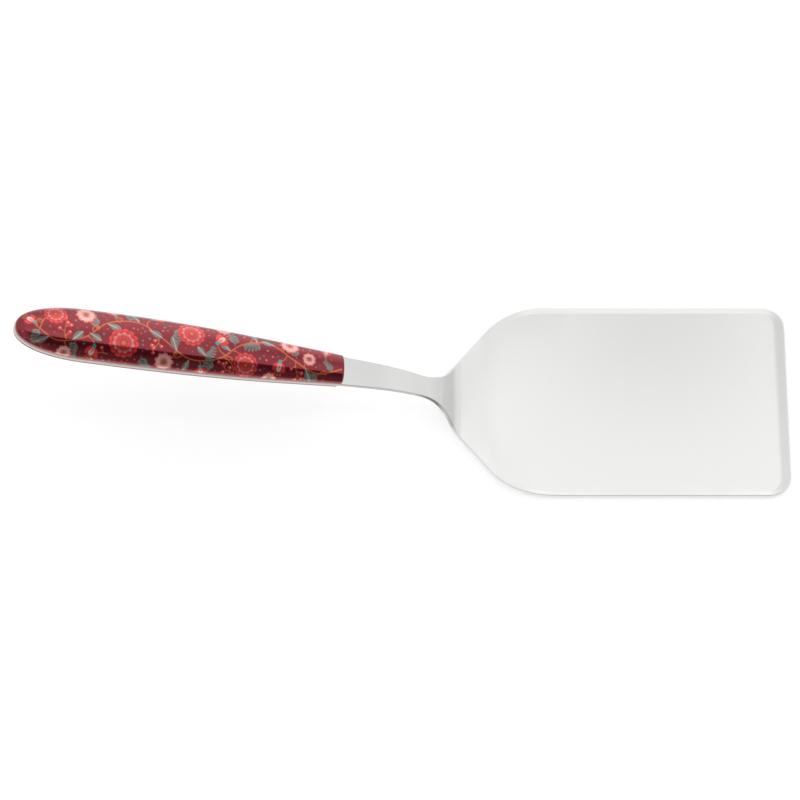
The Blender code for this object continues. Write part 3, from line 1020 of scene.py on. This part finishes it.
def plain_material():
    """Dark burgundy with a metallic sheen, under a clear coat."""
    material, tree, shader = new_material("plain_burgundy")
    shader.inputs["Base Color"].default_value = PLAIN_BURGUNDY
    shader.inputs["Metallic"].default_value = PLAIN_SHEEN
    roughen(tree, shader, PLAIN_GRAIN, PLAIN_ROUGHNESS)
    clear_coat(tree, shader)
    return material


# Camera: square to the server's length, 65 degrees above the table
CAMERA_TILT = math.radians(65.0)
CAMERA_DISTANCE = 1.49063
CAMERA_LENS = 172.781
CAMERA_SENSOR = 36.0
CAMERA_CLIP = (0.05, 50.0)
CAMERA_TARGET = Vector((-0.003263, 0.001343, 0.0))


def make_camera():
    data = bpy.data.cameras.new("camera")
    data.lens = CAMERA_LENS
    data.sensor_width = CAMERA_SENSOR
    data.clip_start, data.clip_end = CAMERA_CLIP
    camera = link("camera", data)
    back = Vector((0.0, -math.cos(CAMERA_TILT), math.sin(CAMERA_TILT)))
    camera.location = CAMERA_TARGET + back * CAMERA_DISTANCE
    camera.rotation_euler = (math.pi / 2.0 - CAMERA_TILT, 0.0, 0.0)
    bpy.context.scene.camera = camera


# Floor. In reflections it fades towards the front, along -y, and towards the right, along +x
FLOOR_SIZE = 12.0
FLOOR_DROP = 0.1 * MM
FLOOR_COLOUR = 0.8
FLOOR_SHADOW = 0.73
FLOOR_GLOW = 0.40
FLOOR_FRONT, FLOOR_FRONT_FADING = (-30.0 * MM, -250.0 * MM), 0.75
FLOOR_RIGHT, FLOOR_RIGHT_FADING = (150.0 * MM, 400.0 * MM), 0.35

# Soft grey card that shows in reflections alone
FLAG_PLACE = (0.113, 0.154, 0.22)
FLAG_SIZE = (0.10, 0.09)
FLAG_DARKNESS = 0.27


def stage_square(name, size):
    """Flat square for the stage, reaching size each way, its node tree and surface socket."""
    shape = bmesh.new()
    bmesh.ops.create_grid(shape, x_segments=1, y_segments=1, size=size)
    square = link(name, mesh_of(name, shape))
    material, tree, shader = new_material(name)
    tree.nodes.remove(shader)
    square.data.materials.append(material)
    return square, tree, tree.nodes["Material Output"].inputs["Surface"]


def diffuse_node(tree, brightness):
    node = tree.nodes.new("ShaderNodeBsdfDiffuse")
    node.inputs["Color"].default_value = (brightness, brightness, brightness, 1.0)
    return node.outputs[0]


def emission_node(tree, strength):
    """White glow of this strength; black where it is 0."""
    node = tree.nodes.new("ShaderNodeEmission")
    node.inputs["Strength"].default_value = strength
    return node.outputs[0]


def join_shaders(tree, kind, *sources):
    """Output of a shader node of this kind with the sources linked to its inputs in turn."""
    node = tree.nodes.new(kind)
    for source, socket in zip(sources, node.inputs):
        tree.links.new(source, socket)
    return node.outputs[0]


def make_floor():
    """White floor that keeps the object's shadow and shows white to the eye and in metal."""
    floor, tree, surface = stage_square("floor", FLOOR_SIZE)
    path = tree.nodes.new("ShaderNodeLightPath").outputs
    seen = math_node(tree, "MAXIMUM", path["Is Camera Ray"], path["Is Glossy Ray"])
    seen = math_node(tree, "MAXIMUM", seen, path["Is Transmission Ray"])
    shown = join_shaders(tree, "ShaderNodeAddShader", diffuse_node(tree, FLOOR_SHADOW),
                         emission_node(tree, FLOOR_GLOW))
    shown = join_shaders(tree, "ShaderNodeMixShader", seen, diffuse_node(tree, FLOOR_COLOUR), shown)
    x, y, _ = coordinates(tree, "Object")
    front = mix_node(tree, ramp_node(tree, y, *FLOOR_FRONT), 0.0, FLOOR_FRONT_FADING)
    right = mix_node(tree, ramp_node(tree, x, *FLOOR_RIGHT), 0.0, FLOOR_RIGHT_FADING)
    fading = math_node(tree, "MAXIMUM", front, right)
    fading = math_node(tree, "MULTIPLY", fading, path["Is Glossy Ray"])
    shown = join_shaders(tree, "ShaderNodeMixShader", fading, shown, emission_node(tree, 0.0))
    tree.links.new(shown, surface)
    floor.location.z = -FLOOR_DROP


def make_flag():
    """A soft grey card behind and above the blade that shows in reflections alone."""
    flag, tree, surface = stage_square("flag", 1.0)
    flag.location = FLAG_PLACE
    flag.scale = (*FLAG_SIZE, 1.0)
    flag.visible_camera = False
    flag.visible_diffuse = False
    flag.visible_shadow = False
    from_middle = tree.nodes.new("ShaderNodeVectorMath")
    from_middle.operation = "LENGTH"
    tree.links.new(tree.nodes.new("ShaderNodeTexCoord").outputs["Object"], from_middle.inputs[0])
    outwards = ramp_node(tree, from_middle.outputs["Value"], 0.0, 1.0)
    share = mix_node(tree, outwards, FLAG_DARKNESS, 0.0)
    open_air = tree.nodes.new("ShaderNodeBsdfTransparent").outputs[0]
    card = join_shaders(tree, "ShaderNodeMixShader", share, open_air, emission_node(tree, 0.0))
    tree.links.new(card, surface)


# Brightness of the room by direction. A zone is named for where it is or what mirrors it, and
# has a level, which fades in over the zones before it from the first value of an axis to the
# second. Where a zone has two fades, their shares are multiplied.
ROOM_LEVEL = 1.14
ROOM_ZONES = {
    "overhead": (1.0, ("y", 0.40, 0.30)),
    "near_rim": (1.3, ("y", 0.50, 0.66)),
    "back": (0.85, ("y", 0.78, 0.90), ("x", 0.30, 0.10)),
    "far_rim": (1.22, ("y", 0.20, 0.08)),
    "left": (0.84, ("x", -0.12, -0.32)),
    "shoulders": (1.36, ("x", 0.2, 0.3), ("y", 0.4, 0.5)),
    "neck": (0.92, ("x", 0.35, 0.55)),
    "right": (0.74, ("x", 0.75, 1.0)),
}
FRONT_LEVEL = 0.19
FRONT_ZONES = {
    "upper_front": (0.07, ("z", 0.55, 0.80)),
    "left_front": (0.6, ("x", 0.10, -0.45)),
    "right_front": (0.6, ("leaning_x", 0.42, 0.58)),
    "front_horizon": (0.3, ("z", 0.25, 0.0)),
}
FRONT_ENDS = (-0.13, -0.11)
LEAN = 0.35


def lay_zones(tree, level, zones, axes):
    """Brightness that starts as level and has the zones laid over it in turn."""
    for name, (zone_level, *fades) in zones.items():
        shares = [ramp_node(tree, axes[axis], low, high) for axis, low, high in fades]
        share = shares[0]
        for more in shares[1:]:
            share = math_node(tree, "MULTIPLY", share, more)
        level = mix_node(tree, share, level, zone_level)
        level.node.label = name
    return level


def make_world():
    """White for the eye. For light and reflections, pale walls and a dark upper front."""
    world = bpy.data.worlds.new("studio")
    bpy.context.scene.world = world
    world.use_nodes = True
    tree = world.node_tree
    x, y, z = coordinates(tree, "Generated")
    leaning_x = math_node(tree, "SUBTRACT", x, math_node(tree, "MULTIPLY", z, LEAN))
    axes = {"x": x, "y": y, "z": z, "leaning_x": leaning_x}
    room = lay_zones(tree, ROOM_LEVEL, ROOM_ZONES, axes)
    front = lay_zones(tree, FRONT_LEVEL, FRONT_ZONES, axes)
    level = mix_node(tree, ramp_node(tree, y, *FRONT_ENDS), front, room)
    path = tree.nodes.new("ShaderNodeLightPath")
    level = math_node(tree, "MAXIMUM", level, path.outputs["Is Camera Ray"])
    background = tree.nodes["Background"]
    background.inputs["Color"].default_value = (1.0, 1.0, 1.0, 1.0)
    tree.links.new(level, background.inputs["Strength"])


# Lamps, which light the object and don't show in it: name, place, target, size and brightness
LAMPS = (
    ("softbox", (0.1, -0.25, 0.9), (0.1, -0.05, 0.0), (0.5, 0.5), 1.0),
    ("front_fill", (0.0, -1.2, 1.0), (0.0, 0.0, 0.0), (1.5, 1.0), 1.4),
)


def area_lamp(name, place, target, size, brightness):
    """A flat lamp as bright as a white card of this brightness, aimed at a target."""
    data = bpy.data.lights.new(name, "AREA")
    data.shape = "RECTANGLE"
    data.size, data.size_y = size
    data.energy = brightness * math.pi * size[0] * size[1]
    lamp = link(name, data)
    lamp.location = place
    aim = Vector(target) - Vector(place)
    lamp.rotation_euler = aim.to_track_quat("-Z", "Y").to_euler()
    lamp.visible_camera = False
    lamp.visible_glossy = False


bpy.context.scene.view_settings.view_transform = "Standard"
make_camera()
make_floor()
make_flag()
make_world()
for lamp in LAMPS:
    area_lamp(*lamp)
steel = steel_material()
make_steel(steel, edge_shade_material())
make_handle(print_material(), plain_material(), reflection_tinted_glue_material())
for name in ("front_locating_pin", "rear_locating_pin"):
    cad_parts[name].data.materials.clear()
    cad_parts[name].data.materials.append(steel)
